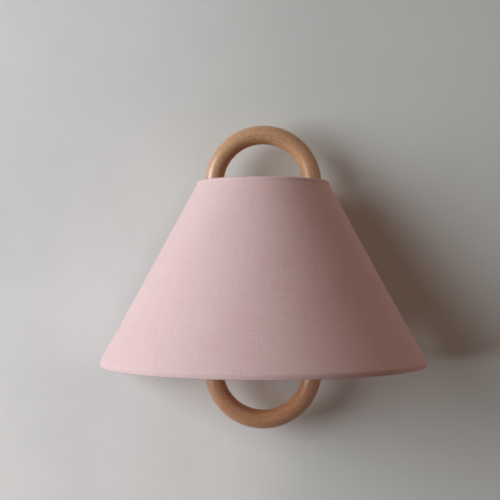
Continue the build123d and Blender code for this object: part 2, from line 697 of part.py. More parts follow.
def earth_lead():
    """A short lead from the middle pole to the earth screw on the wall plate."""
    wire_y = -PLATE_THICK - LEAD_D / 2 - BOND
    x = pole_x(1)
    past_screw = EARTH_SCREW_X - EARTH_SCREW_D / 2 - LEAD_D / 2 - LEAD_HOLE_GAP
    high_z = TERMINAL_TOP_Z + LEAD_SMALL_R * 2
    points = [
        (x, PORT_Y, TERMINAL_TOP_Z - LEAD_IN_PORT),
        (x, PORT_Y, high_z),
        (past_screw, wire_y, high_z),
        (past_screw, wire_y, EARTH_SCREW_Z),
    ]
    return piped(LEAD_D / 2, points, [LEAD_SMALL_R, LEAD_SMALL_R])


# Shade

def slant_point(down, depth):
    """(radius, z) at a distance down the slant from the upper ring and a depth below the outer face."""
    spot = RING_TOP + DOWN_SLANT * down + OUTWARD * (FOLD_R - depth)
    return spot.X, spot.Y


def lip_touch(radius, lip_end):
    """Where a straight lip that ends at lip_end leaves a roll of this radius, from the roll's centre."""
    turn = math.atan2(lip_end.Y, lip_end.X) + math.acos(radius / lip_end.length)
    return Vector(math.cos(turn), math.sin(turn)) * radius


def fold_line(skin):
    """Edges of the fabric's outline at a depth below its face: inner lip, rolled rim, side, rim and lip."""
    radius = FOLD_R - skin
    lip_depth = LINER_IN + BOND + FABRIC - skin
    touch = lip_touch(radius, Vector(FOLD_LIP, lip_depth - FOLD_R))
    return [
        Line(slant_point(FOLD_LIP, lip_depth), slant_point(touch.X, FOLD_R + touch.Y)),
        ThreePointArc(
            slant_point(touch.X, FOLD_R + touch.Y), slant_point(-radius, FOLD_R), slant_point(0, skin)
        ),
        Line(slant_point(0, skin), slant_point(SLANT, skin)),
        ThreePointArc(
            slant_point(SLANT, skin), slant_point(SLANT + radius, FOLD_R),
            slant_point(SLANT - touch.X, FOLD_R + touch.Y),
        ),
        Line(slant_point(SLANT - touch.X, FOLD_R + touch.Y), slant_point(SLANT - FOLD_LIP, lip_depth)),
    ]


def half_turn(face):
    """Revolves a face drawn in (radius, z) half way round the shade's axis, on the room side."""
    return revolve(Plane.XZ.offset(-SHADE_Y) * face, Axis((0, SHADE_Y, 0), (0, 0, -1)), revolution_arc=180)


def room_side(body, y):
    """What a body has on the room side of the plane at y."""
    return split(body, Plane((0, y, 0), z_dir=(0, -1, 0)), keep=Keep.TOP)


def shade_cover():
    """The fabric half cone, rolled round the wire at both rims and notched for the cross wires."""
    outside, inside = fold_line(0), fold_line(FABRIC)
    caps = [Line(outside[end] @ at, inside[end] @ at) for end, at in ((0, 0), (-1, 1))]
    cover = half_turn(make_face(outside + inside + caps))
    cover -= cross_wire_bar(RING_TOP, UPPER_WIRE_Y, WIRE_NOTCH_GAP)
    cover -= cross_wire_bar(RING_BOTTOM, LOWER_WIRE_Y, WIRE_NOTCH_GAP)
    return cover - [strut_bar(side, ROLL_GAP / 2) for side in SIDES]


def shade_liner():
    """The stiff white sheet that the fabric is laminated on, which stops short of the rims."""
    top, bottom = RING_R + WIRE_NOTCH_GAP * 2, SLANT - RING_R - WIRE_NOTCH_GAP * 2
    corners = [(top, LINER_OUT), (bottom, LINER_OUT), (bottom, LINER_IN), (top, LINER_IN)]
    liner = half_turn(make_face(Polyline(*[slant_point(*corner) for corner in corners], close=True)))
    return room_side(liner, SHADE_Y - RING_R - WIRE_NOTCH_GAP)


def half_ring(centre):
    """A half ring of frame wire whose ends butt against the two back struts."""
    ring = half_turn(Pos(centre.X, centre.Y) * Circle(RING_R))
    return room_side(ring, SHADE_Y - RING_R - GLUE_GAP)


def strut_point(side, down):
    """A point on the axis of a back strut, at a distance down the slant."""
    radius, z = slant_point(down, FOLD_R)
    return side * radius, SHADE_Y, z


def strut_bar(side, gap=0.0):
    return rod(RING_R + gap, strut_point(side, -RING_R), strut_point(side, SLANT + RING_R))


def cross_wire_bar(centre, y, gap=0.0):
    """A straight bar across the shade at a ring's height, from ring centre to ring centre."""
    half = math.sqrt(centre.X ** 2 - (y - SHADE_Y) ** 2)
    return rod(RING_R + gap, (-half, y, centre.Y), (half, y, centre.Y))


def cross_wire(centre, y):
    ring = half_turn(Pos(centre.X, centre.Y) * Circle(RING_R + GLUE_GAP))
    pieces = cross_wire_bar(centre, y) - ring
    return pieces.solids().sort_by(SortBy.VOLUME)[-1]


def binding_line(skin, with_lip):
    """Edges of a back binding's outline, from the strut's axis: x towards the room and y inwards."""
    radius = FOLD_R - skin
    lip_end = Vector(BINDING_LIP, LINER_IN + BOND + BINDING_SAG + FABRIC - skin - FOLD_R)
    touch = lip_touch(radius, lip_end) if with_lip else Vector(0, radius)
    edges = [ThreePointArc((0, -radius), (-radius, 0), touch)]
    if with_lip:
        edges.append(Line(touch, lip_end))
    return edges


def binding_strip(side, start, end, with_lip):
    """A length of back binding between two distances down the slant."""
    outside, inside = binding_line(0, with_lip), binding_line(FABRIC, with_lip)
    caps = [Line(outside[at] @ -at, inside[at] @ -at) for at in (0, -1)]
    across = Plane(strut_point(side, start), x_dir=(0, -1, 0), z_dir=(side * DOWN_SLANT.X, 0, DOWN_SLANT.Y))
    section = make_face(outside + inside + caps)
    if side < 0:
        section = mirror(section, Plane.XZ)
    return extrude(across * section, end - start)


def edge_bindings():
    """Fabric strips folded round the two back struts, level with the cover's face."""
    hem = FOLD_LIP + WIRE_NOTCH_GAP
    strips = []
    for side in SIDES:
        strip = binding_strip(side, 0, SLANT, False) + binding_strip(side, hem, SLANT - hem, True)
        strips.append(strip.solid())
    return Compound(strips)


# Hanging the shade

def hanger_straps():
    """Two steel straps curled over the upper cross wire, with keyholes that drop on the hanger screws."""
    wire_z = RING_TOP.Y
    low_z = HANGER_SCREW_Z - KEYHOLE_TRAVEL - KEYHOLE_R - STRAP_MARGIN
    inner_r, outer_r = RING_R + BOND, RING_R + BOND + STRAP_THICK
    straps = []
    for side in SIDES:
        x = side * HANGER_SPACING / 2
        blank = Pos(x, (wire_z + low_z) / 2) * Rectangle(STRAP_WIDTH, wire_z - low_z)
        blank = fillet(blank.vertices().group_by(Axis.Y)[0], STRAP_CORNER_R)
        strap = extrude(Plane.XZ.offset(-STRAP_BACK_Y) * (blank - keyhole(x)), STRAP_THICK)
        curl = Circle(outer_r) - Circle(inner_r)
        curl &= Pos(0, outer_r) * Rectangle(4 * outer_r, 2 * outer_r)
        tail = Rectangle(STRAP_THICK, STRAP_CURL_TAIL)
        curl += Pos(-(inner_r + STRAP_THICK / 2), -STRAP_CURL_TAIL / 2) * tail
        across = Plane((x, UPPER_WIRE_Y, wire_z), x_dir=(0, 1, 0), z_dir=(1, 0, 0))
        strap += extrude(across * curl, STRAP_WIDTH / 2, both=True)
        straps.append(strap.solid())
    return Compound(straps)


def keyhole(x):
    """The opening in a strap: a narrow slot above a round hole that the screw's head passes through."""
    slot_top = HANGER_SCREW_Z
    hole_z = HANGER_SCREW_Z - KEYHOLE_TRAVEL
    slot = Pos(x, (slot_top + hole_z) / 2) * Rectangle(2 * SLOT_R, slot_top - hole_z)
    return slot + Pos(x, slot_top) * Circle(SLOT_R) + Pos(x, hole_z) * Circle(KEYHOLE_R)


def hanger_bar(side, radius, start_y, end_y):
    x = side * HANGER_SPACING / 2
    return rod(radius, (x, start_y, HANGER_SCREW_Z), (x, end_y, HANGER_SCREW_Z))


def hanger_pilot_hole(side):
    start_y = BOX_FRONT_Y + HANGER_SHANK + SCREW_SLACK
    return hanger_bar(side, HANGER_NECK_D / 2 + THREAD_GAP, start_y, 2 * BOX_FRONT_Y)


def hanger_screws():
    """Two round-head wood screws in the box's front, with a gap under the head for a strap."""
    seat_y = STRAP_FRONT_Y - STRAP_BOX_GAP
    screws = []
    for side in SIDES:
        shank = hanger_bar(side, HANGER_NECK_D / 2, BOX_FRONT_Y + HANGER_SHANK, seat_y)
        head = hanger_bar(side, HANGER_HEAD_D / 2, seat_y, seat_y - HANGER_HEAD)
        head = fillet(head.edges().filter_by(GeomType.CIRCLE).sort_by(Axis.Y)[0], HANGER_HEAD_ROUND_R)
        face = Plane((side * HANGER_SPACING / 2, seat_y - HANGER_HEAD, HANGER_SCREW_Z), z_dir=(0, -1, 0))
        screws.append((slotted_head(head, face) + shank).solid())
    return Compound(screws)


PARTS = {
    "upper_arch": lambda: arch(RAIL_TOP_Z, True),
    "lower_arch": lambda: arch(RAIL_BOTTOM_Z, False),
    "left_rail": lambda: rail(-1),
    "right_rail": lambda: rail(1),
    "joint_dowels": joint_dowels,
    "cross_dowels": cross_dowels,
    "back_box": back_box,
    "wall_plate": wall_plate,
    "cable_grommet": cable_grommet,
    "box_screws": box_screws,
    "earth_screw": earth_screw,
    "lamp_arm": lamp_arm,
    "arm_flange": arm_flange,
    "arm_nut": arm_nut,
    "holder_dome": holder_dome,
    "holder_grub_screw": holder_grub_screw,
    "holder_skirt": holder_skirt,
    "holder_core": holder_core,
    "screw_shell": screw_shell,
    "centre_contact": centre_contact,
    "bulb_tip": bulb_tip,
    "bulb_insulator": bulb_insulator,
    "bulb_cap": bulb_cap,
    "bulb_collar": bulb_collar,
    "led_board": led_board,
    "bulb_globe": bulb_globe,
    "terminal_block": terminal_block,
    "terminal_screws": terminal_screws,
    "terminal_fixing_screws": terminal_fixing_screws,
    "live_lead": lambda: lamp_lead(0, -1),
    "neutral_lead": lambda: lamp_lead(2, 1),
    "earth_lead": earth_lead,
    "shade_cover": shade_cover,
    "shade_liner": shade_liner,
    "upper_ring": lambda: half_ring(RING_TOP),
    "lower_ring": lambda: half_ring(RING_BOTTOM),
    "left_strut": lambda: strut_bar(-1),
    "right_strut": lambda: strut_bar(1),
    "upper_cross_wire": lambda: cross_wire(RING_TOP, UPPER_WIRE_Y),
    "lower_cross_wire": lambda: cross_wire(RING_BOTTOM, LOWER_WIRE_Y),
    "edge_bindings": edge_bindings,
    "hanger_straps": hanger_straps,
    "hanger_screws": hanger_screws,
}


def main():
    os.makedirs("parts", exist_ok=True)
    for name, make in PARTS.items():
        export_step(make(), f"parts/{name}.step")


main()
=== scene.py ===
import math

import bpy
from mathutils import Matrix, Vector, noise


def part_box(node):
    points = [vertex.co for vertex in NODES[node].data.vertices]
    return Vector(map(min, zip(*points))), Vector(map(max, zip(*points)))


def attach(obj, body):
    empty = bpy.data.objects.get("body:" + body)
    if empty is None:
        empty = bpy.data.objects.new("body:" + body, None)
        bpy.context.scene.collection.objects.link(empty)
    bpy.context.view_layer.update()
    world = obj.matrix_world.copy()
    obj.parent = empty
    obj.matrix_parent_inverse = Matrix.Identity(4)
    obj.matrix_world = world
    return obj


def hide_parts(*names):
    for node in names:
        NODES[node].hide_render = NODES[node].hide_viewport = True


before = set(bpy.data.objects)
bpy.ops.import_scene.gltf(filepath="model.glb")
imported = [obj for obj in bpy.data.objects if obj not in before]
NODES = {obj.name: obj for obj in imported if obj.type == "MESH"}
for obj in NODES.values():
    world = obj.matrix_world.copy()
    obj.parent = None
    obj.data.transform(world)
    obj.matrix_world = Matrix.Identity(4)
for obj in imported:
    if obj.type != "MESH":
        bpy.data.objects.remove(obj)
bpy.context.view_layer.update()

# Sizes that the fabric is built from, in metres
WIRE_R = 0.0015
FABRIC = 0.0006
THREAD_PITCH = 0.0006
FOLD_R = 0.0023
LINER_IN = 0.0015
BOND = 0.0001
UPPER_BEAD_R = 0.0029
CREASE_SPREAD = (0.0002, 0.0006, 0.0013, 0.0026, 0.005)
FOLD_LIP = 0.010
BINDING_LIP = 0.006
BINDING_SAG = 0.0004
BINDING_CAP_TURN = math.radians(84)
NOTCH_HALF = 0.0024
NOTCH_RISE = 0.0019

# Band of the lower rim, between a bend and a fold. The centres of both are given from the ring's centre,
# up the slant and inwards. The bend is used where the roll's normal points outwards by more than its sine.
BAND_BEND = Vector((0.00183, 0.00193))
BAND_BEND_R = 0.005
BAND_BEND_SINE = 0.7
BAND_FOLD = Vector((-0.00218, -0.00008))
BAND_FOLD_R = 0.0009
BAND_SWELL = 0.00077
BAND_SWELL_FROM = 0.05
BAND_SWELL_RUN = 0.042
BAND_CLOTH = 0.0012
BAND_STRAIGHT = 0.001
BAND_TAPER = 0.014

# Unevenness of the fabric. Heights and lengths are in metres, the rates per metre and per radian.
FACE_WAVE = 0.00012
FACE_WAVE_FADE = 0.03
FACE_WAVE_RATE_DOWN = 16
FACE_WAVE_RATE_ROUND = 2.2
LIP_WANDER = 0.0006
LIP_WANDER_RATE_DOWN = 5
LIP_WANDER_RATE_ROUND = 7
LIP_WANDER_LAYER = 3.0

# Columns of the shade's mesh
COVER_COLUMNS = 240
COLUMN_FROM_SLIT = math.pi / 600

# Places that the frame gives
STRUT_LOW, STRUT_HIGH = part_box("left_strut")
SHADE_Y = (STRUT_LOW.y + STRUT_HIGH.y) / 2
ARCH_LOW, ARCH_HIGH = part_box("upper_arch")
ROD_R = (ARCH_HIGH.y - ARCH_LOW.y) / 2
ARCH_R = ARCH_HIGH.x - ROD_R
UPPER_ARCH_Z = ARCH_LOW.z
LOWER_ARCH_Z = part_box("lower_arch")[1].z


def ring_centre(node):
    """(radius, z) of the centre of a half ring's wire."""
    low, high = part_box(node)
    return Vector((SHADE_Y - low.y - WIRE_R, (low.z + high.z) / 2))


RING_TOP = ring_centre("upper_ring")
RING_BOTTOM = ring_centre("lower_ring")
SLANT = (RING_BOTTOM - RING_TOP).length
DOWN = (RING_BOTTOM - RING_TOP).normalized()
OUTWARD = Vector((-DOWN.y, DOWN.x))
CONE_SINE = DOWN.x
APEX_FROM_RING = RING_TOP.x / CONE_SINE


# Node trees

def linear(level):
    """A linear level from a screen value of 0 to 255."""
    share = level / 255
    return share / 12.92 if share <= 0.04045 else ((share + 0.055) / 1.055) ** 2.4


def srgb(red, green, blue):
    """A linear colour from screen values of 0 to 255."""
    return [linear(red), linear(green), linear(blue), 1.0]


class Nodes:
    """A node tree. Each method adds a node, and most return the socket that carries its result."""

    def __init__(self, tree):
        self.tree = tree

    def node(self, kind, inputs=(), **settings):
        """Adds a node and returns the node itself."""
        made = self.tree.nodes.new(kind)
        for setting, value in settings.items():
            setattr(made, setting, value)
        for socket, value in dict(inputs).items():
            self.feed(made.inputs[socket], value)
        return made

    def feed(self, socket, value):
        """Links a socket to another, or sets its value."""
        if isinstance(value, bpy.types.NodeSocket):
            self.tree.links.new(value, socket)
        else:
            socket.default_value = value

    def place(self, kind="Object"):
        return self.node("ShaderNodeTexCoord").outputs[kind]

    def split(self, vector):
        return self.node("ShaderNodeSeparateXYZ", {0: vector}).outputs

    def join(self, x, y, z):
        return self.node("ShaderNodeCombineXYZ", {0: x, 1: y, 2: z}).outputs[0]

    def scaled(self, vector, scale, shift=(0, 0, 0)):
        inputs = {"Vector": vector, "Scale": scale, "Location": shift}
        return self.node("ShaderNodeMapping", inputs).outputs[0]

    def math(self, operation, first, second=0.0):
        return self.node("ShaderNodeMath", {0: first, 1: second}, operation=operation).outputs[0]

    def noise(self, vector, scale, detail=2.0, roughness=0.5, distortion=0.0):
        inputs = {
            "Vector": vector,
            "Scale": scale,
            "Detail": detail,
            "Roughness": roughness,
            "Distortion": distortion,
        }
        return self.node("ShaderNodeTexNoise", inputs).outputs["Fac"]

    def levels(self, value, span, onto=(0.0, 1.0), ends="SMOOTHSTEP"):
        """Maps one span of values onto another, with soft ends unless they are to be LINEAR."""
        inputs = {
            "Value": value, "From Min": span[0], "From Max": span[1], "To Min": onto[0], "To Max": onto[1],
        }
        return self.node("ShaderNodeMapRange", inputs, interpolation_type=ends).outputs[0]

    def ramp(self, value, *stops):
        """A colour ramp. Each stop is (position, colour)."""
        made = self.node("ShaderNodeValToRGB", {"Fac": value})
        elements = made.color_ramp.elements
        while len(elements) < len(stops):
            elements.new(1.0)
        for element, (position, colour) in zip(elements, stops):
            element.position = position
            element.color = colour
        return made.outputs["Color"]

    def mix(self, share, first, second, blend="MIX"):
        made = self.node("ShaderNodeMix", data_type="RGBA", blend_type=blend)
        self.feed(made.inputs[0], share)
        self.feed(made.inputs[6], first)
        self.feed(made.inputs[7], second)
        return made.outputs[2]

    def mixed_shaders(self, share, first, second):
        return self.node("ShaderNodeMixShader", {0: share, 1: first, 2: second}).outputs[0]

    def bump(self, height, distance, strength=1.0, under=None):
        inputs = {"Height": height, "Distance": distance, "Strength": strength}
        if under is not None:
            inputs["Normal"] = under
        return self.node("ShaderNodeBump", inputs).outputs["Normal"]


class Look(Nodes):
    """A material's node tree, round one main shader."""

    def __init__(self, name, **shader_values):
        self.material = bpy.data.materials.new(name)
        self.material.use_nodes = True
        super().__init__(self.material.node_tree)
        self.shader = self.tree.nodes["Principled BSDF"]
        for socket, value in shader_values.items():
            self.shader.inputs[socket.replace("_", " ")].default_value = value

    def finish(self, colour, roughness=None, normal=None):
        """Feeds the main shader and returns the material."""
        self.feed(self.shader.inputs["Base Color"], colour)
        if roughness is not None:
            self.feed(self.shader.inputs["Roughness"], roughness)
        if normal is not None:
            self.feed(self.shader.inputs["Normal"], normal)
        return self.material


# Colours of the wood, the shade and the wall
BEECH_DEEP = srgb(182, 134, 95)
BEECH_MIDDLE = srgb(200, 152, 112)
BEECH_PALE = srgb(216, 171, 132)
BEECH_FIBRE = srgb(167, 118, 82)
BEECH_PATCH = srgb(227, 185, 147)
BEECH_SPECKLE = srgb(163, 114, 76)
BEECH_FLECK = srgb(120, 79, 51)
BEECH_TINT = (1.0, 1.0, 1.0, 1.0)
# Painted light: a pink cast on the lower arch's wood that stands for light bounced off the shade
LOWER_ARCH_PAINTED_BOUNCE = (0.95, 0.82, 0.78, 1.0)
CLOTH_PALE = srgb(234, 206, 206)
CLOTH_MIDDLE = srgb(228, 198, 198)
CLOTH_DEEP = srgb(216, 183, 182)
BOARD_MASK = srgb(236, 236, 230)
BOARD_HAZE = srgb(222, 222, 214)
BOARD_EMITTER = srgb(232, 196, 88)
WALL_LEFT = srgb(237, 239, 238)
WALL_RIGHT = srgb(219, 224, 222)
# Painted light: the wall's lower left is lighter, a painted pool of light bounced up from below
WALL_PAINTED_BOUNCE_LOW_LEFT = srgb(253, 253, 252)
WALL_MOTTLE = srgb(190, 192, 188)

# Emitters on the bulb's circuit board, in metres
EMITTER_COUNT = 8.0
EMITTER_RING_R = 0.0072
EMITTER_EDGE = (0.0013, 0.0015)


# Materials

def straight_grain(look):
    """Wood coordinates with the grain upright."""
    return look.place()


def bent_grain(centre_z):
    """Wood coordinates whose grain follows an arch round its centre."""
    def coordinates(look):
        x, y, z = look.split(look.place())
        rise = look.math("SUBTRACT", z, centre_z)
        reach = look.math("ADD", look.math("MULTIPLY", x, x), look.math("MULTIPLY", rise, rise))
        across = look.math("SUBTRACT", look.math("SQRT", reach), ARCH_R)
        along = look.math("MULTIPLY", look.math("ARCTAN2", rise, x), ARCH_R)
        return look.join(across, y, along)
    return coordinates


def beech(name, coordinates, tint=BEECH_TINT):
    """Lacquered beech: soft growth bands, fine fibres and short brown ray flecks.

    The tint multiplies the colour. On the lower arch it is a painted pink cast that stands for light bounced
    off the shade.
    """
    look = Look(name, Coat_Weight=1.0, Coat_Roughness=0.3, Coat_IOR=1.65, Specular_IOR_Level=0.15)
    place = coordinates(look)
    long_bands = look.scaled(place, (1, 1, 0.05))
    bands = look.noise(long_bands, scale=150, detail=3, roughness=0.55, distortion=0.6)
    fibres = look.noise(look.scaled(place, (1, 1, 0.025)), scale=1100, detail=3, roughness=0.6)
    flecks = look.noise(look.scaled(place, (1, 1, 0.3), (0.3, 0.2, 0.1)), scale=1400, detail=1)
    marks = look.levels(flecks, (0.58, 0.7))
    short_specks = look.scaled(place, (1, 1, 0.4), (0.7, 0.1, 0.5))
    speckle = look.noise(short_specks, scale=600, detail=3, roughness=0.6)
    patches = look.noise(look.scaled(place, (1, 1, 0.3)), scale=30, detail=2)
    wood = look.ramp(bands, (0.28, BEECH_DEEP), (0.5, BEECH_MIDDLE), (0.74, BEECH_PALE))
    wood = look.mix(look.levels(fibres, (0.35, 0.75), (0.0, 0.3)), wood, BEECH_FIBRE)
    wood = look.mix(look.levels(patches, (0.3, 0.8), (0.0, 0.25)), wood, BEECH_PATCH)
    wood = look.mix(look.levels(speckle, (0.42, 0.7), (0.0, 0.4)), wood, BEECH_SPECKLE)
    wood = look.mix(look.math("MULTIPLY", marks, 0.4), wood, BEECH_FLECK)
    # Multiplies by the tint, which on the lower arch is painted pink bounce light from the shade
    wood = look.mix(1.0, wood, tint, "MULTIPLY")
    rough = look.levels(fibres, (0.2, 0.8), (0.52, 0.68))
    grain = look.bump(fibres, distance=0.00006, strength=0.6)
    return look.finish(wood, rough, look.bump(marks, distance=-0.00005, strength=0.7, under=grain))


def woven(name, pitch, pale, middle, deep):
    """Plain-weave cotton with uneven threads. The UV map is the flat cut in metres."""
    look = Look(name, Sheen_Weight=0.08, Sheen_Roughness=0.45, Specular_IOR_Level=0.15)
    flat = look.place("UV")
    across, up, _ = look.split(flat)
    turn = math.pi / pitch
    warp = look.math("SINE", look.math("MULTIPLY", across, turn))
    weft = look.math("SINE", look.math("MULTIPLY", up, turn))
    crossing = look.math("MULTIPLY", warp, weft)
    threads = look.math("MAXIMUM", look.math("ABSOLUTE", warp), look.math("ABSOLUTE", weft))
    cloth = look.math("ADD", look.math("MULTIPLY", threads, 0.6), look.math("MULTIPLY", crossing, 0.4))
    along_weft = look.scaled(flat, (0.04, 1, 1))
    along_warp = look.scaled(flat, (1, 0.04, 1), (0.4, 0.7, 0))
    weft_slubs = look.noise(along_weft, scale=900, detail=3, roughness=0.6)
    warp_slubs = look.noise(along_warp, scale=900, detail=3, roughness=0.6)
    slubs = look.math("MULTIPLY", look.math("ADD", weft_slubs, warp_slubs), 0.5)
    tone = look.noise(flat, scale=18, detail=2)
    colour = look.ramp(slubs, (0.25, deep), (0.5, middle), (0.75, pale))
    colour = look.mix(look.levels(cloth, (-0.1, 0.7), (0.22, 0.0)), colour, deep)
    colour = look.mix(look.levels(tone, (0.3, 0.7), (0.0, 0.25)), colour, pale)
    height = look.math("ADD", look.math("MULTIPLY", cloth, 0.6), look.math("MULTIPLY", slubs, 1.2))
    rough = look.levels(slubs, (0.3, 0.7), (0.78, 0.92))
    return look.finish(colour, rough, look.bump(height, distance=0.0003, strength=1.0))


def moulded(name, colour, speck, roughness, **shader_values):
    """Smooth moulded or glazed surface with faint mottling and a fine skin texture."""
    look = Look(name, **shader_values)
    place = look.place()
    mottle = look.noise(place, scale=140, detail=4, roughness=0.6)
    grain = look.noise(place, scale=4000, detail=2)
    tint = look.mix(look.levels(mottle, (0.3, 0.7), (0.0, 0.5)), colour, speck)
    rough = look.levels(mottle, (0.25, 0.75), (roughness - 0.06, roughness + 0.08))
    return look.finish(tint, rough, look.bump(grain, distance=0.00002, strength=0.35))


def coated_wire(name, colour, speck):
    """Powder coat: a fine orange-peel skin."""
    look = Look(name, Specular_IOR_Level=0.45)
    place = look.place()
    peel = look.noise(place, scale=1800, detail=2)
    mottle = look.noise(place, scale=220, detail=3)
    tint = look.mix(look.levels(mottle, (0.3, 0.7), (0.0, 0.5)), colour, speck)
    rough = look.levels(peel, (0.3, 0.7), (0.38, 0.52))
    return look.finish(tint, rough, look.bump(peel, distance=0.00005, strength=0.5))


def metal(name, bright, dull, roughness, brush):
    """Metal with directional brush marks, darker in the marks, and soft handling stains."""
    look = Look(name, Metallic=1.0)
    place = look.place()
    marks = look.noise(look.scaled(place, brush), scale=2200, detail=3, roughness=0.6)
    stain = look.noise(place, scale=90, detail=4, roughness=0.6)
    tint = look.mix(look.levels(marks, (0.3, 0.75), (0.0, 0.45)), bright, dull)
    tint = look.mix(look.levels(stain, (0.45, 0.8), (0.0, 0.5)), tint, dull)
    rough = look.levels(stain, (0.3, 0.75), (roughness - 0.06, roughness + 0.14))
    return look.finish(tint, rough, look.bump(marks, distance=0.00002, strength=0.5))


def galvanised(name, bright, dull):
    """Zinc plate with its crystal spangle."""
    look = Look(name, Metallic=0.85)
    place = look.place()
    spangle = look.node("ShaderNodeTexVoronoi", {"Vector": place, "Scale": 260.0}).outputs["Color"]
    cells = look.split(spangle)[0]
    haze = look.noise(place, scale=400, detail=4, roughness=0.6)
    tint = look.mix(look.levels(cells, (0.0, 1.0), (0.0, 0.35)), bright, dull)
    tint = look.mix(look.levels(haze, (0.4, 0.75), (0.0, 0.2)), tint, dull)
    rough = look.levels(cells, (0.0, 1.0), (0.36, 0.56))
    return look.finish(tint, rough, look.bump(haze, distance=0.00002, strength=0.4))


def board(name):
    """White-masked circuit board with a ring of yellow emitters."""
    look = Look(name, Specular_IOR_Level=0.4)
    x, y, _ = look.split(look.place())
    low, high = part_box("led_board")
    middle = (low + high) / 2
    from_x = look.math("SUBTRACT", x, middle.x)
    from_y = look.math("SUBTRACT", y, middle.y)
    squares = look.math("ADD", look.math("POWER", from_x, 2.0), look.math("POWER", from_y, 2.0))
    turn = look.math("ARCTAN2", from_y, from_x)
    wave = look.math("COSINE", look.math("MULTIPLY", turn, EMITTER_COUNT))
    off_ring = look.math("ABSOLUTE", look.math("SUBTRACT", look.math("SQRT", squares), EMITTER_RING_R))
    on_ring = look.levels(off_ring, EMITTER_EDGE, (1.0, 0.0))
    emitters = look.math("MULTIPLY", look.levels(wave, (0.6, 0.75)), on_ring)
    haze = look.noise(look.place(), scale=900, detail=3)
    mask = look.mix(look.levels(haze, (0.3, 0.7), (0.0, 0.4)), BOARD_MASK, BOARD_HAZE)
    return look.finish(look.mix(emitters, mask, BOARD_EMITTER), look.levels(haze, (0.3, 0.7), (0.4, 0.55)))


LOOKS = {
    "upper_beech": beech("upper arch beech", bent_grain(UPPER_ARCH_Z)),
    "lower_beech": beech("lower arch beech", bent_grain(LOWER_ARCH_Z), LOWER_ARCH_PAINTED_BOUNCE),
    "straight_beech": beech("straight beech", straight_grain),
    "fabric": woven("pink cotton", THREAD_PITCH, CLOTH_PALE, CLOTH_MIDDLE, CLOTH_DEEP),
    # The liner is painted pink: a painted glow of light coming through the pink fabric, while the sheet
    # itself is white
    "liner": moulded("liner", srgb(239, 200, 191), srgb(230, 189, 180), 0.42, Specular_IOR_Level=0.4),
    "wire": coated_wire("white wire", srgb(234, 233, 229), srgb(222, 220, 214)),
    "steel": galvanised("zinc steel", srgb(196, 199, 203), srgb(146, 150, 156)),
    "screw": metal("zinc screw", srgb(204, 206, 208), srgb(132, 134, 138), 0.34, (1, 1, 0.1)),
    "brass": metal("satin brass", srgb(214, 178, 108), srgb(158, 122, 66), 0.3, (1, 0.08, 1)),
    "holder": moulded("holder plastic", srgb(236, 234, 228), srgb(226, 223, 215), 0.32, Coat_Weight=0.2),
    "porcelain": moulded("porcelain", srgb(240, 238, 232), srgb(230, 226, 218), 0.22, Coat_Weight=0.6),
    "globe": moulded("opal glass", srgb(246, 244, 238), srgb(238, 235, 227), 0.2, Coat_Weight=0.5),
    "bulb": moulded("bulb plastic", srgb(240, 239, 235), srgb(230, 228, 222), 0.36),
    "nickel": metal("nickel", srgb(206, 203, 196), srgb(150, 147, 140), 0.24, (0.1, 0.1, 1)),
    "solder": metal("solder", srgb(176, 176, 178), srgb(118, 118, 122), 0.42, (1, 1, 1)),
    "black": moulded("black insulator", srgb(26, 26, 28), srgb(38, 38, 40), 0.3),
    "rubber": moulded("grey rubber", srgb(92, 91, 88), srgb(74, 73, 71), 0.72, Specular_IOR_Level=0.25),
    "terminal": moulded("terminal plastic", srgb(228, 226, 218), srgb(214, 211, 201), 0.46),
    "brown": moulded("brown insulation", srgb(104, 62, 40), srgb(88, 51, 33), 0.44),
    "blue": moulded("blue insulation", srgb(48, 92, 158), srgb(38, 78, 140), 0.44),
    "green": moulded("green insulation", srgb(58, 134, 62), srgb(160, 168, 48), 0.44),
    "board": board("led board"),
}

NODE_LOOKS = {
    "upper_beech": ["upper_arch"],
    "lower_beech": ["lower_arch"],
    "straight_beech": ["left_rail", "right_rail", "back_box", "joint_dowels", "cross_dowels"],
    "liner": ["shade_liner"],
    "wire": [
        "upper_ring", "lower_ring", "left_strut", "right_strut", "upper_cross_wire", "lower_cross_wire",
    ],
    "steel": ["wall_plate", "hanger_straps"],
    "screw": [
        "box_screws", "earth_screw", "hanger_screws", "holder_grub_screw", "terminal_screws",
        "terminal_fixing_screws",
    ],
    "brass": ["lamp_arm", "arm_flange", "arm_nut", "screw_shell", "centre_contact"],
    "holder": ["holder_dome", "holder_skirt"],
    "porcelain": ["holder_core"],
    "globe": ["bulb_globe"],
    "bulb": ["bulb_collar"],
    "nickel": ["bulb_cap"],
    "solder": ["bulb_tip"],
    "black": ["bulb_insulator"],
    "rubber": ["cable_grommet"],
    "terminal": ["terminal_block"],
    "brown": ["live_lead"],
    "blue": ["neutral_lead"],
    "green": ["earth_lead"],
    "board": ["led_board"],
}


def dress_nodes():
    """Gives each shown solid its material."""
    for look, names in NODE_LOOKS.items():
        for name in names:
            mesh = NODES[name].data
            mesh.materials.clear()
            mesh.materials.append(LOOKS[look])
            mesh.polygons.foreach_set("material_index", [0] * len(mesh.polygons))


# Fabric of the shade

def soft_step(share):
    """0 below 0, 1 above 1 and a smooth rise between."""
    share = min(1.0, max(0.0, share))
    return share * share * (3 - 2 * share)


def slant_spot(down, depth):
    """(radius, z) at a distance down the slant and a depth below the solid cone's face."""
    return RING_TOP + DOWN * down + OUTWARD * (FOLD_R - depth)


def lip_touch(radius, lip_end):
    """Where a straight lip that ends at lip_end leaves a roll of this radius, from the roll's centre."""
    turn = math.atan2(lip_end.y, lip_end.x) + math.acos(radius / lip_end.length)
    return Vector((math.cos(turn), math.sin(turn))) * radius


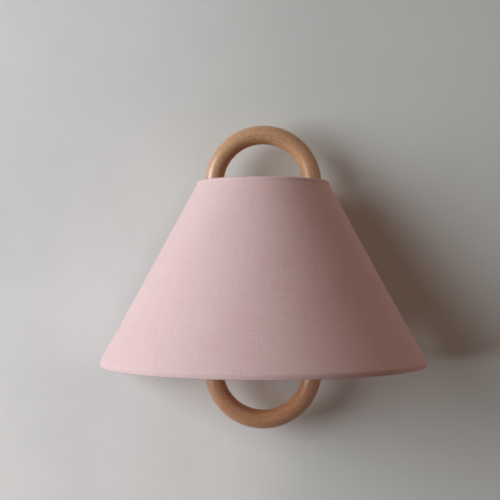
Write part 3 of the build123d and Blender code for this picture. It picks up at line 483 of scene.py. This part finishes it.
def banded_roll(roll, share, straight_steps=4):
    """Points of a roll that is drawn out over the bends of the lower rim's band by a share of the way."""
    drawn = []
    for point in roll:
        normal = point.normalized()
        places = [point, BAND_FOLD + normal * BAND_FOLD_R]
        if normal.y < -BAND_BEND_SINE:
            places.append(BAND_BEND + normal * BAND_BEND_R)
        drawn.append(max(places, key=normal.dot))
    points = [roll[0].lerp(drawn[0], share)]
    for index in range(1, len(roll)):
        straight = (drawn[index] - drawn[index - 1]).length > BAND_STRAIGHT
        steps = straight_steps if straight else 1
        for step in range(1, steps + 1):
            rolled = roll[index - 1].lerp(roll[index], step / steps)
            points.append(rolled.lerp(drawn[index - 1].lerp(drawn[index], step / steps), share))
    return points


def rim_profile(bead, band=None, lip_steps=5, roll_steps=24):
    """(down, depth) points of one rolled rim, from the lip's free edge to the smooth face past the roll.

    The roll's radius grows to that of the bead on the outside. A bead larger than the fold ends in a crease.
    A rim with a band is drawn out by that share of the full band, and its lip is shorter by as much cloth.
    """
    drawn = band or 0.0
    lip_end = Vector((FOLD_LIP - BAND_CLOTH * drawn, LINER_IN + BOND + FABRIC - FOLD_R))
    touch = lip_touch(FOLD_R, lip_end)
    points = [lip_end.lerp(touch, step / lip_steps) for step in range(lip_steps)]
    start = math.atan2(touch.y, touch.x)
    outermost = 1.5 * math.pi
    end = outermost + math.acos(FOLD_R / bead)
    roll = []
    for step in range(roll_steps + 1):
        turn = start + (end - start) * step / roll_steps
        radius = FOLD_R + (bead - FOLD_R) * soft_step((turn - start) / (outermost - start))
        roll.append(Vector((math.cos(turn), math.sin(turn))) * radius)
    points += roll if band is None else banded_roll(roll, band)
    crease = points[-1].x
    points += [Vector((crease + past, -FOLD_R - BAND_SWELL * drawn)) for past in CREASE_SPREAD]
    return [(point.x, point.y + FOLD_R) for point in points]


def cover_profile(band, face_steps=48):
    """(down, depth) points of the fabric, from the upper lip's free edge to the lower lip's.

    band is the share of the lower rim's full band.
    """
    upper = rim_profile(UPPER_BEAD_R)
    lower = [(SLANT - down, depth) for down, depth in reversed(rim_profile(FOLD_R, band))]
    first, last = upper[-1][0], lower[0][0]
    face = []
    for step in range(1, face_steps):
        down = first + (last - first) * step / face_steps
        swell = BAND_SWELL * soft_step((down - SLANT + BAND_SWELL_FROM) / BAND_SWELL_RUN)
        face.append((down, -swell * band))
    return upper + face + lower


def flat_place(distance, angle):
    """Where a point lies on the flat cut: distance from the ring along the cloth, angle round the axis."""
    reach = APEX_FROM_RING + distance
    turn = (angle - math.pi / 2) * CONE_SINE
    return reach * math.sin(turn), -reach * math.cos(turn)


def cloth_piece(name, rows, flats, look, left_out=()):
    """A grid of points as one sheet of fabric, with its flat cut as UV map and its thickness inwards.

    left_out holds the (row, column) of each face that isn't made.
    """
    columns = len(rows[0])
    points = [point for row in rows for point in row]
    places = [place for row in flats for place in row]
    faces = []
    for row in range(len(rows) - 1):
        for column in range(columns - 1):
            if (row, column) not in left_out:
                corner = row * columns + column
                faces.append((corner, corner + 1, corner + columns + 1, corner + columns))
    used = sorted({corner for face in faces for corner in face})
    renumbered = {corner: index for index, corner in enumerate(used)}
    mesh = bpy.data.meshes.new(name)
    mesh.from_pydata(
        [points[corner] for corner in used], [], [[renumbered[corner] for corner in face] for face in faces],
    )
    layer = mesh.uv_layers.new(name="flat cut")
    for loop in mesh.loops:
        layer.data[loop.index].uv = places[used[loop.vertex_index]]
    mesh.polygons.foreach_set("use_smooth", [True] * len(mesh.polygons))
    mesh.materials.append(look)
    piece = bpy.data.objects.new(name, mesh)
    bpy.context.scene.collection.objects.link(piece)
    thick = piece.modifiers.new("thickness", "SOLIDIFY")
    thick.thickness = FABRIC
    thick.offset = -1.0
    thick.use_even_offset = True
    return piece


def notch_angles(node, ring):
    """Angles round the axis at which a cross wire reaches a ring, on the two sides."""
    low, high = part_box(node)
    out = math.asin((SHADE_Y - (low.y + high.y) / 2) / ring.x)
    return out, math.pi - out


def cover_columns(slits):
    """Angles of the cover's columns: even steps, and both edges of each slit with no step close to them."""
    even = [math.pi * step / COVER_COLUMNS for step in range(COVER_COLUMNS + 1)]
    edges = []
    for ring, middles in slits:
        half = NOTCH_HALF / ring.x
        for middle in middles:
            edges += [middle - half, middle + half]
    apart = [angle for angle in even if min(abs(angle - edge) for edge in edges) > COLUMN_FROM_SLIT]
    return sorted(apart + edges)


def cover_spot(down, depth, angle):
    """(radius, z) of a point of the cover, with faint waves on its face and uneven edges on its lips."""
    from_rim = min(down, SLANT - down)
    wave_at = Vector((down * FACE_WAVE_RATE_DOWN, angle * FACE_WAVE_RATE_ROUND, 0.0))
    fade = min(1.0, max(0.0, from_rim / FACE_WAVE_FADE))
    spot = slant_spot(down, depth - noise.noise(wave_at) * FACE_WAVE * fade)
    if depth > FOLD_R:
        towards_edge = max(0.0, from_rim) / FOLD_LIP
        wander_at = Vector((angle * LIP_WANDER_RATE_ROUND, down * LIP_WANDER_RATE_DOWN, LIP_WANDER_LAYER))
        wander = noise.noise(wander_at) * LIP_WANDER * towards_edge ** 2
        spot += DOWN * (wander if down < SLANT / 2 else -wander)
    return spot


def slit_faces(profile, spots, angles, slits):
    """(row, column) of the cover's faces that are left out round the cross wires."""
    upper, lower = slits
    faces = set()
    for index, ((down, depth), spot) in enumerate(zip(profile, spots)):
        on_top = down < SLANT / 2
        ring, middles = upper if on_top else lower
        inner = spot.x < ring.x and depth > 0
        near = spot.y < ring.y + NOTCH_RISE if on_top else spot.y > ring.y - NOTCH_RISE
        if not (inner and near):
            continue
        row = index if on_top else index - 1
        half = NOTCH_HALF / ring.x
        for middle in middles:
            for column, (first, second) in enumerate(zip(angles, angles[1:])):
                if abs((first + second) / 2 - middle) < half:
                    faces.add((row, column))
    return faces


def make_cover():
    """The fabric half cone with its rolled rims, turned-in lips and slits for the cross wires.

    The lower rim's band fades out towards both back ends. The flat cut and the slits follow the full band.
    """
    slits = [
        (RING_TOP, notch_angles("upper_cross_wire", RING_TOP)),
        (RING_BOTTOM, notch_angles("lower_cross_wire", RING_BOTTOM)),
    ]
    angles = cover_columns(slits)
    from_ends = [min(angle, math.pi - angle) * RING_BOTTOM.x for angle in angles]
    profiles = [cover_profile(soft_step(from_end / BAND_TAPER)) for from_end in from_ends]
    profile = cover_profile(1.0)
    spots = [slant_spot(*point) for point in profile]
    along = [0.0]
    for first, second in zip(spots, spots[1:]):
        along.append(along[-1] + (second - first).length)
    face_start = next(at for at, (down, depth) in zip(along, profile) if down > 0 and depth <= 0)
    rows, flats = [], []
    for index, at in enumerate(along):
        row = []
        for angle, points in zip(angles, profiles):
            spot = cover_spot(*points[index], angle)
            row.append((spot.x * math.cos(angle), SHADE_Y - spot.x * math.sin(angle), spot.y))
        rows.append(row)
        flats.append([flat_place(at - face_start, angle) for angle in angles])
    left_out = slit_faces(profile, spots, angles, slits)
    cover = cloth_piece("shade_cloth", rows, flats, LOOKS["fabric"], left_out)
    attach(cover, "shade")
    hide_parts("shade_cover")
    return cover


def binding_rows(steps=80, cap_steps=7):
    """(down, squeeze) of each row of a binding, which is gathered to a round cap over both corners."""
    cap = [BINDING_CAP_TURN * step / cap_steps for step in range(1, cap_steps + 1)]
    above = [(-FOLD_R * math.sin(turn), math.cos(turn)) for turn in reversed(cap)]
    below = [(SLANT + FOLD_R * math.sin(turn), math.cos(turn)) for turn in cap]
    return above + [(SLANT * step / steps, 1.0) for step in range(steps + 1)] + below


def make_bindings(roll_steps=20, lip_steps=4):
    """Fabric strips folded round the two back struts, with their ends gathered over the corners."""
    lip_end = Vector((BINDING_LIP, LINER_IN + BOND + BINDING_SAG + FABRIC - FOLD_R))
    touch = lip_touch(FOLD_R, lip_end)
    sweep = math.atan2(touch.y, touch.x) - 1.5 * math.pi
    turns = [-math.pi / 2 + sweep * step / roll_steps for step in range(roll_steps + 1)]
    outline = [Vector((math.cos(turn), math.sin(turn))) * FOLD_R for turn in turns]
    outline += [touch.lerp(lip_end, step / lip_steps) for step in range(1, lip_steps + 1)]
    ladder = binding_rows()
    lip_columns = range(roll_steps, roll_steps + lip_steps)
    squeezes = [squeeze for _, squeeze in ladder]
    caps = [row for row, pair in enumerate(zip(squeezes, squeezes[1:])) if min(pair) < 1]
    left_out = {(row, column) for row in caps for column in lip_columns}
    strips = []
    for side, name in ((-1, "left_binding_cloth"), (1, "right_binding_cloth")):
        rows, flats = [], []
        for down, squeeze in ladder:
            row, flat = [], []
            run = 0.0
            before = outline[0]
            for spot in outline:
                run += (spot - before).length
                before = spot
                place = RING_TOP + DOWN * down - OUTWARD * spot.y * squeeze
                row.append((side * place.x, SHADE_Y - spot.x * squeeze, place.y))
                flat.append((side * run, down))
            rows.append(row)
            flats.append(flat)
        strip = cloth_piece(name, rows, flats, LOOKS["fabric"], left_out)
        if side > 0:
            strip.data.flip_normals()
        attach(strip, "shade")
        strips.append(strip)
    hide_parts("edge_bindings")
    return strips


# Wall behind the part. Lengths are in metres.
WALL_Y = 0.0004
WALL_REACH = 3.0
MIRROR_GAP = 0.012
TONE_SPAN_X = (-0.12, 0.06)
LOW_LEFT_SPAN_X = (-0.06, 0.08)
LOW_LEFT_SPAN_Z = (-0.22, 0.04)

# Light: a window on the left, a dim warm room and a weak lamp for what faces the wall
LIGHT_AIM = (0.0, -0.06, -0.05)
WINDOW_PLACE = (-1.99, -1.12, 0.24)
WINDOW_WIDTH = 1.7
WINDOW_HEIGHT = 1.6
WINDOW_POWER = 58.2
WINDOW_COLOUR = (0.92, 0.97, 1.0)
BACK_FILL_DIRECTION = (0.0, -1.0, 0.0)
BACK_FILL_STRENGTH = 0.6
BACK_FILL_COLOUR = (1.0, 0.97, 0.94)
BACK_FILL_ANGLE = math.radians(4)
ROOM_COLOUR = (1.0, 0.63, 0.47, 1.0)
ROOM_UP_SPAN = (-0.8, 0.9)
ROOM_UP_STRENGTH = (0.02, 0.215)
ROOM_RIGHT_SPAN = (-1.0, 1.0)
ROOM_RIGHT_STRENGTH = (0.15, 1.95)
BACKDROP_COLOUR = (0.45, 0.45, 0.44, 1.0)

# Camera, with its sensor and lens in millimetres
LENS = 78.5
SENSOR_WIDTH = 36.0
CAMERA_PLACE = (-0.0125, -1.07, -0.0436)
CAMERA_TILT_UP = 0.0183


def wall_material():
    """Pale plaster that is seen only from the room side, and not in mirror images of what lies on it."""
    look = Look("wall plaster", Roughness=0.9, Specular_IOR_Level=0.1)
    place = look.place()
    x, _, z = look.split(place)
    tone = look.ramp(look.levels(x, TONE_SPAN_X), (0.0, WALL_LEFT), (1.0, WALL_RIGHT))
    # Painted light: towards the lower left the wall is mixed to a paler colour, a painted pool of bounced
    # light
    to_left = look.levels(x, LOW_LEFT_SPAN_X, (1.0, 0.0))
    to_floor = look.levels(z, LOW_LEFT_SPAN_Z, (1.0, 0.0))
    tone = look.mix(look.math("MULTIPLY", to_left, to_floor), tone, WALL_PAINTED_BOUNCE_LOW_LEFT)
    mottle = look.noise(place, scale=9, detail=4, roughness=0.6)
    colour = look.mix(look.levels(mottle, (0.3, 0.7), (0.0, 0.12)), tone, WALL_MOTTLE)
    fine = look.noise(place, scale=120, detail=4, roughness=0.65)
    look.finish(colour, normal=look.bump(fine, distance=0.0004, strength=0.25))
    backing = look.node("ShaderNodeNewGeometry").outputs["Backfacing"]
    path = look.node("ShaderNodeLightPath").outputs
    near = look.math("LESS_THAN", path["Ray Length"], MIRROR_GAP)
    mirrored = look.math("MULTIPLY", path["Is Glossy Ray"], near)
    clear = look.node("ShaderNodeBsdfTransparent").outputs[0]
    both = look.mixed_shaders(look.math("MAXIMUM", backing, mirrored), look.shader.outputs[0], clear)
    look.feed(look.tree.nodes["Material Output"].inputs["Surface"], both)
    return look.material


def make_wall():
    """The wall that the part hangs on, just behind its back."""
    signs = ((-1, -1), (1, -1), (1, 1), (-1, 1))
    corners = [(side * WALL_REACH, WALL_Y, up * WALL_REACH) for side, up in signs]
    mesh = bpy.data.meshes.new("wall")
    mesh.from_pydata(corners, [], [(0, 1, 2, 3)])
    mesh.materials.append(wall_material())
    wall = bpy.data.objects.new("wall", mesh)
    wall.visible_shadow = False
    wall.visible_transmission = False
    bpy.context.scene.collection.objects.link(wall)


def aimed_lamp(name, data, direction):
    """A lamp object that shines in a direction."""
    lamp = bpy.data.objects.new(name, data)
    lamp.rotation_euler = Vector(direction).to_track_quat("-Z", "Y").to_euler()
    bpy.context.scene.collection.objects.link(lamp)
    return lamp


def make_window():
    """The large soft light on the left."""
    data = bpy.data.lights.new("window", "AREA")
    data.shape = "RECTANGLE"
    data.size = WINDOW_WIDTH
    data.size_y = WINDOW_HEIGHT
    data.energy = WINDOW_POWER
    data.color = WINDOW_COLOUR
    window = aimed_lamp("window", data, Vector(LIGHT_AIM) - Vector(WINDOW_PLACE))
    window.location = WINDOW_PLACE


def make_back_fill():
    """A weak light from behind the wall, which shows the part's back in views from there."""
    data = bpy.data.lights.new("back fill", "SUN")
    data.energy = BACK_FILL_STRENGTH
    data.color = BACK_FILL_COLOUR
    data.angle = BACK_FILL_ANGLE
    lamp = aimed_lamp("back fill", data, BACK_FILL_DIRECTION)
    lamp.visible_glossy = False


def make_room():
    """Warm light from the room, stronger from above and from the right, behind a pale backdrop."""
    world = bpy.data.worlds.new("room")
    bpy.context.scene.world = world
    world.use_nodes = True
    room = Nodes(world.node_tree)
    right, _, up = room.split(room.place("Generated"))
    by_height = room.levels(up, ROOM_UP_SPAN, ROOM_UP_STRENGTH, "LINEAR")
    by_side = room.levels(right, ROOM_RIGHT_SPAN, ROOM_RIGHT_STRENGTH, "LINEAR")
    glow = room.tree.nodes["Background"]
    room.feed(glow.inputs["Color"], ROOM_COLOUR)
    room.feed(glow.inputs["Strength"], room.math("MULTIPLY", by_height, by_side))
    pale = room.node("ShaderNodeBackground", {"Color": BACKDROP_COLOUR})
    path = room.node("ShaderNodeLightPath").outputs
    seen = room.math("MAXIMUM", path["Is Camera Ray"], path["Is Transmission Ray"])
    seen = room.math("MAXIMUM", seen, path["Is Glossy Ray"])
    both = room.mixed_shaders(seen, glow.outputs[0], pale.outputs[0])
    room.feed(room.tree.nodes["World Output"].inputs["Surface"], both)


def make_camera():
    """A camera in front of the part, a little left of its middle."""
    data = bpy.data.cameras.new("camera")
    data.lens = LENS
    data.sensor_width = SENSOR_WIDTH
    camera = bpy.data.objects.new("camera", data)
    camera.location = CAMERA_PLACE
    camera.rotation_euler = (math.pi / 2 + CAMERA_TILT_UP, 0.0, 0.0)
    bpy.context.scene.collection.objects.link(camera)
    bpy.context.scene.camera = camera


bpy.context.scene.view_settings.view_transform = "Standard"
make_camera()
dress_nodes()
cover = make_cover()
bindings = make_bindings()
make_wall()
make_room()
make_window()
make_back_fill()
